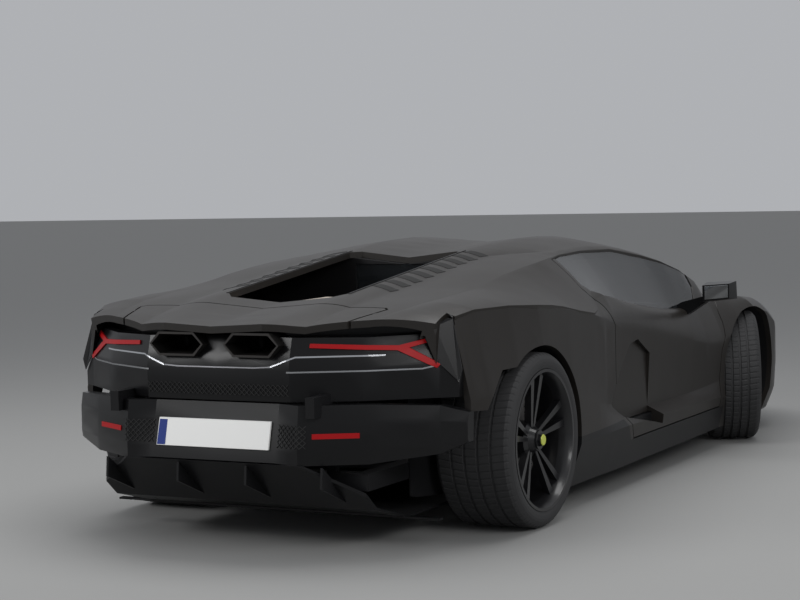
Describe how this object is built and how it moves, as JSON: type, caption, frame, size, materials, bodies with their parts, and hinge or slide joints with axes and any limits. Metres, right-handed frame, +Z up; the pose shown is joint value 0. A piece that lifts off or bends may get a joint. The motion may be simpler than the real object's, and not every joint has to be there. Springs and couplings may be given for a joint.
{
  "type": "supercar",
  "caption": "Low mid-engined two-seat coupe with wedge body, upswinging doors, open engine bay, moving rear wing and Y-spoked wheels.",
  "frame": {"origin": "on the ground, at the middle of the car's length and width", "axes": "+X forward towards the nose, +Y to the left, +Z up"},
  "size_m": [4.938, 2.266, 1.1576],
  "materials": {
    "carbon": "matte",
    "clear_lamp": "gloss",
    "cover": "satin",
    "disc": "brushed",
    "engine": "satin",
    "exhaust": "satin",
    "glass": "gloss",
    "gloss_black": "gloss",
    "paint": "satin",
    "red_lamp": "gloss",
    "rim": "gloss",
    "seat": "matte",
    "suspension": "satin",
    "trim": "matte",
    "tyre": "matte"
  },
  "bodies": {
    "chassis": {"dashboard": "trim", "diffuser": "carbon", "engine": "engine", "engine_brace": "carbon", "engine_cover": "cover", "exhaust_tips": "exhaust", "fixed_glass": "glass", "front_bumper": "paint", "front_fenders": "paint", "front_wishbones": "suspension", "headlamps": "clear_lamp", "quarter_left": "paint", "quarter_right": "paint", "rear_bumper": "gloss_black", "rear_deck": "paint", "rear_fascia": "gloss_black", "rear_suspension": "suspension", "roof": "paint", "seats": "seat", "side_skirts": "carbon", "steering_wheel": "trim", "tail_lamps": "red_lamp", "tub": "carbon", "undertray": "carbon"},
    "door_left": {"door_left": "paint", "door_glass_left": "glass", "mirror_left": "gloss_black"},
    "door_right": {"door_right": "paint", "door_glass_right": "glass", "mirror_right": "gloss_black"},
    "front_lid": {"front_lid": "paint"},
    "rear_wing": {"rear_wing": "paint"},
    "steer_left": {"knuckle_fl": "suspension"},
    "steer_right": {"knuckle_fr": "suspension"},
    "wheel_fl": {"tyre_fl": "tyre", "rim_fl": "rim", "disc_fl": "disc"},
    "wheel_fr": {"tyre_fr": "tyre", "rim_fr": "rim", "disc_fr": "disc"},
    "wheel_rl": {"tyre_rl": "tyre", "rim_rl": "rim", "disc_rl": "disc"},
    "wheel_rr": {"tyre_rr": "tyre", "rim_rr": "rim", "disc_rr": "disc"}
  },
  "joints": [
    {"name": "door_left_hinge", "type": "hinge", "parent": "chassis", "child": "door_left", "pos_m": [1.0975, 0.812, 0.69], "axis": [-0.0298, 0.9924, -0.1191], "range_deg": [0, 70]},
    {"name": "door_right_hinge", "type": "hinge", "parent": "chassis", "child": "door_right", "pos_m": [1.0975, -0.812, 0.69], "axis": [0.0298, 0.9924, 0.1191], "range_deg": [0, 70]},
    {"name": "front_lid_hinge", "type": "hinge", "parent": "chassis", "child": "front_lid", "pos_m": [1.2275, 0, 0.684], "axis": [0, -1, 0], "range_deg": [0, 45]},
    {"name": "rear_wing_hinge", "type": "hinge", "parent": "chassis", "child": "rear_wing", "pos_m": [-2.0675, 0, 0.937], "axis": [0, 1, 0], "range_deg": [0, 17]},
    {"name": "steer_left_kingpin", "type": "hinge", "parent": "chassis", "child": "steer_left", "pos_m": [1.3155, 0.82, 0.346], "axis": [0, 0, 1], "range_deg": [-56, 8]},
    {"name": "steer_right_kingpin", "type": "hinge", "parent": "chassis", "child": "steer_right", "pos_m": [1.3155, -0.82, 0.346], "axis": [0, 0, 1], "range_deg": [-56, 8]},
    {"name": "wheel_fl_spin", "type": "hinge", "parent": "steer_left", "child": "wheel_fl", "pos_m": [1.29923, 0.85654, 0.346], "axis": [-0.4067, 0.9135, 0], "continuous": true},
    {"name": "wheel_fr_spin", "type": "hinge", "parent": "steer_right", "child": "wheel_fr", "pos_m": [1.33177, -0.85654, 0.346], "axis": [-0.4067, 0.9135, 0], "continuous": true},
    {"name": "wheel_rl_spin", "type": "hinge", "parent": "chassis", "child": "wheel_rl", "pos_m": [-1.4635, 0.833, 0.368], "axis": [0, 1, 0], "continuous": true},
    {"name": "wheel_rr_spin", "type": "hinge", "parent": "chassis", "child": "wheel_rr", "pos_m": [-1.4635, -0.833, 0.368], "axis": [0, 1, 0], "continuous": true}
  ],
  "couplings": [
    {"joint": "steer_right_kingpin", "follows": "steer_left_kingpin", "ratio": 1}
  ]
}
